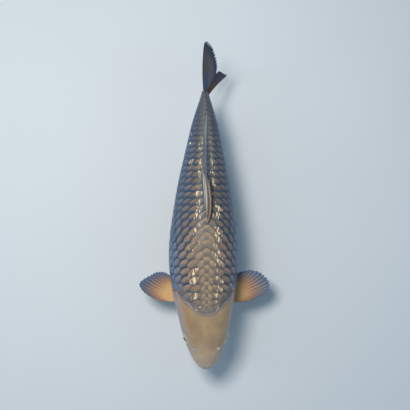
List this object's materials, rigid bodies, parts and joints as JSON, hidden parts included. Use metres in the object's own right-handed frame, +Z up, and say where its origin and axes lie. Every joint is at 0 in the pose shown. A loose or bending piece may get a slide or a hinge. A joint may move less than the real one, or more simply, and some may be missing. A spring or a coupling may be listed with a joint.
{
  "type": "koi carp",
  "caption": "Life-size swimming koi carp on a low oval stand: scaled body, smooth head, barbels, spread pectoral fins and a swept, forked tail.",
  "frame": {"origin": "middle of the whole model's footprint, on the floor under the stand", "axes": "+Z up, +Y from the head to the tail, +X to the fish's own left side"},
  "size_m": [0.2874, 0.687, 0.271],
  "materials": {
    "head_skin": "moist smooth skin, tan with grey sides",
    "scaled_skin": "moist scales, brown with dark blue-grey edges and cream glints",
    "fin_membrane": "ribbed membrane, grey-brown",
    "paired_fin": "ribbed membrane, orange-tan fading to blue-grey",
    "eye": "clear gloss",
    "stand_board": "black satin lacquer",
    "stand_metal": "satin"
  },
  "bodies": {
    "root": {"head": "head_skin", "jaw": "head_skin", "gill_cover_left": "head_skin", "gill_cover_right": "head_skin", "barbel_front_left": "head_skin", "barbel_front_right": "head_skin", "barbel_rear_left": "head_skin", "barbel_rear_right": "head_skin", "eye_left": "eye", "eye_right": "eye", "trunk": "scaled_skin", "tail_stalk": "scaled_skin", "dorsal_fin": "fin_membrane", "anal_fin": "fin_membrane", "tail_fin_upper": "fin_membrane", "tail_fin_lower": "fin_membrane", "pectoral_fin_left": "paired_fin", "pectoral_fin_right": "paired_fin", "pelvic_fin_left": "paired_fin", "pelvic_fin_right": "paired_fin", "stand_base": "stand_board", "stand_rod_front": "stand_metal", "stand_rod_rear": "stand_metal"}
  },
  "joints": []
}
